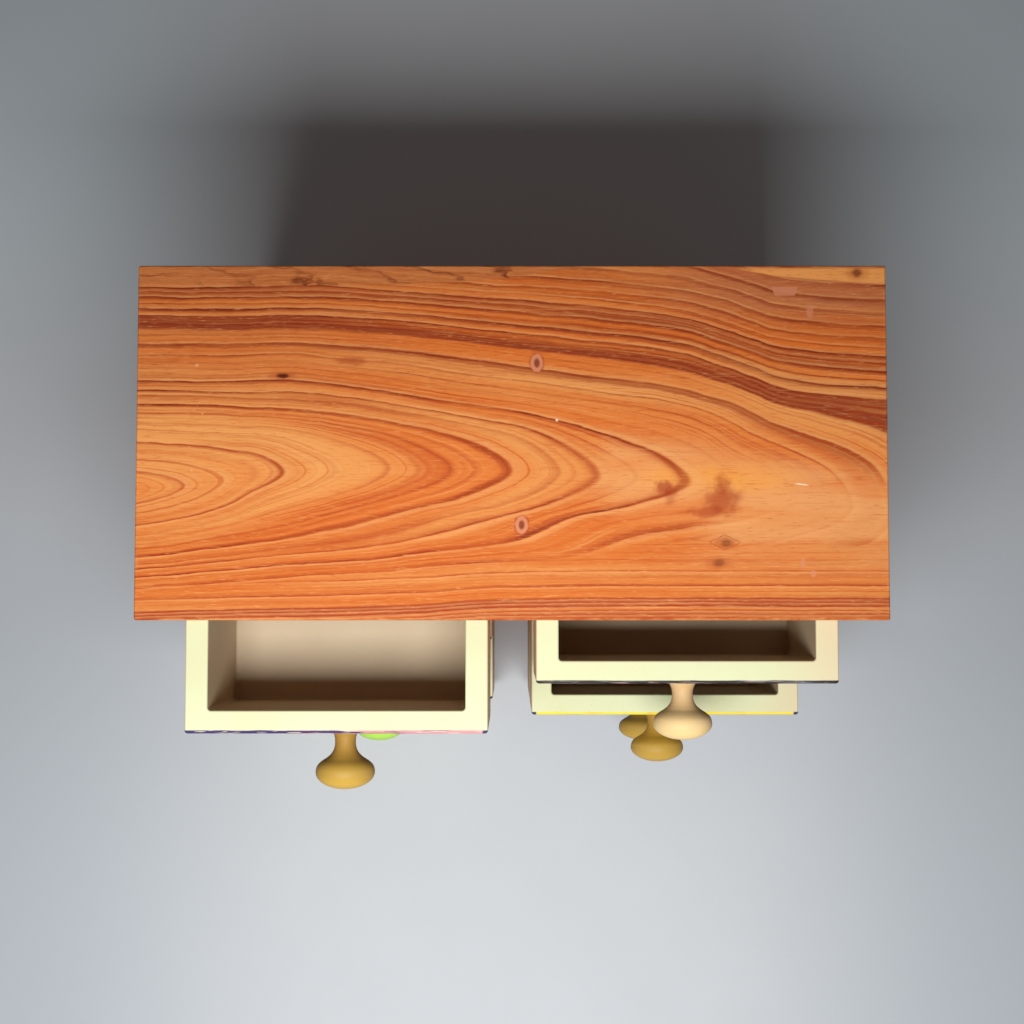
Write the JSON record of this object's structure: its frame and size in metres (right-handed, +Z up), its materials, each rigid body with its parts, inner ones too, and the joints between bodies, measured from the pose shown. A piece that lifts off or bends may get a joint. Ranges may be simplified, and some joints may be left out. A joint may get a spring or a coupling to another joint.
{
  "type": "drawer chest",
  "caption": "Small wooden table-top chest with open ceramic drawers that slide out by round ceramic knobs, for sorting craft supplies and small parts.",
  "frame": {"origin": "middle of the base board's underside", "axes": "+X to the right as seen from the front, +Y to the back, +Z up; drawers open towards -Y"},
  "size_m": [0.25, 0.1793, 0.2171],
  "materials": {
    "varnished_wood": "orange-brown hardwood, satin varnish",
    "panel_wood": "thin plywood, thin stain",
    "dowel_wood": "bare beech",
    "pin_steel": "plain steel panel pins",
    "cream_glaze": "cream glaze, painted front",
    "mustard_glaze": "mustard glaze",
    "green_glaze": "lime green glaze"
  },
  "bodies": {
    "carcass": {"top_board": "varnished_wood", "base_board": "varnished_wood", "left_side": "varnished_wood", "right_side": "varnished_wood", "centre_divider": "varnished_wood", "upper_left_shelf": "varnished_wood", "lower_left_shelf": "varnished_wood", "upper_right_shelf": "varnished_wood", "lower_right_shelf": "varnished_wood", "back_panel": "panel_wood", "back_panel_pins": "pin_steel", "top_dowels": "dowel_wood", "base_dowels": "dowel_wood"},
    "lower_left": {"lower_left_drawer": "cream_glaze", "lower_left_knob": "green_glaze"},
    "lower_right": {"lower_right_drawer": "cream_glaze", "lower_right_knob": "mustard_glaze"},
    "middle_left": {"middle_left_drawer": "cream_glaze", "middle_left_knob": "cream_glaze"},
    "middle_right": {"middle_right_drawer": "cream_glaze", "middle_right_knob": "mustard_glaze"},
    "top_left": {"top_left_drawer": "cream_glaze", "top_left_knob": "mustard_glaze"},
    "top_right": {"top_right_drawer": "cream_glaze", "top_right_knob": "cream_glaze"}
  },
  "joints": [
    {"name": "lower_left_slide", "type": "slide", "parent": "carcass", "child": "lower_left", "axis": [0, -1, 0], "range_m": [-0.0371, 0.0479]},
    {"name": "lower_right_slide", "type": "slide", "parent": "carcass", "child": "lower_right", "axis": [0, -1, 0], "range_m": [-0.0367, 0.0483]},
    {"name": "middle_left_slide", "type": "slide", "parent": "carcass", "child": "middle_left", "axis": [0, -1, 0], "range_m": [-0.0093, 0.0757]},
    {"name": "middle_right_slide", "type": "slide", "parent": "carcass", "child": "middle_right", "axis": [0, -1, 0], "range_m": [-0.038, 0.047]},
    {"name": "top_left_slide", "type": "slide", "parent": "carcass", "child": "top_left", "axis": [0, -1, 0], "range_m": [-0.0385, 0.0465]},
    {"name": "top_right_slide", "type": "slide", "parent": "carcass", "child": "top_right", "axis": [0, -1, 0], "range_m": [-0.0217, 0.0633]}
  ]
}
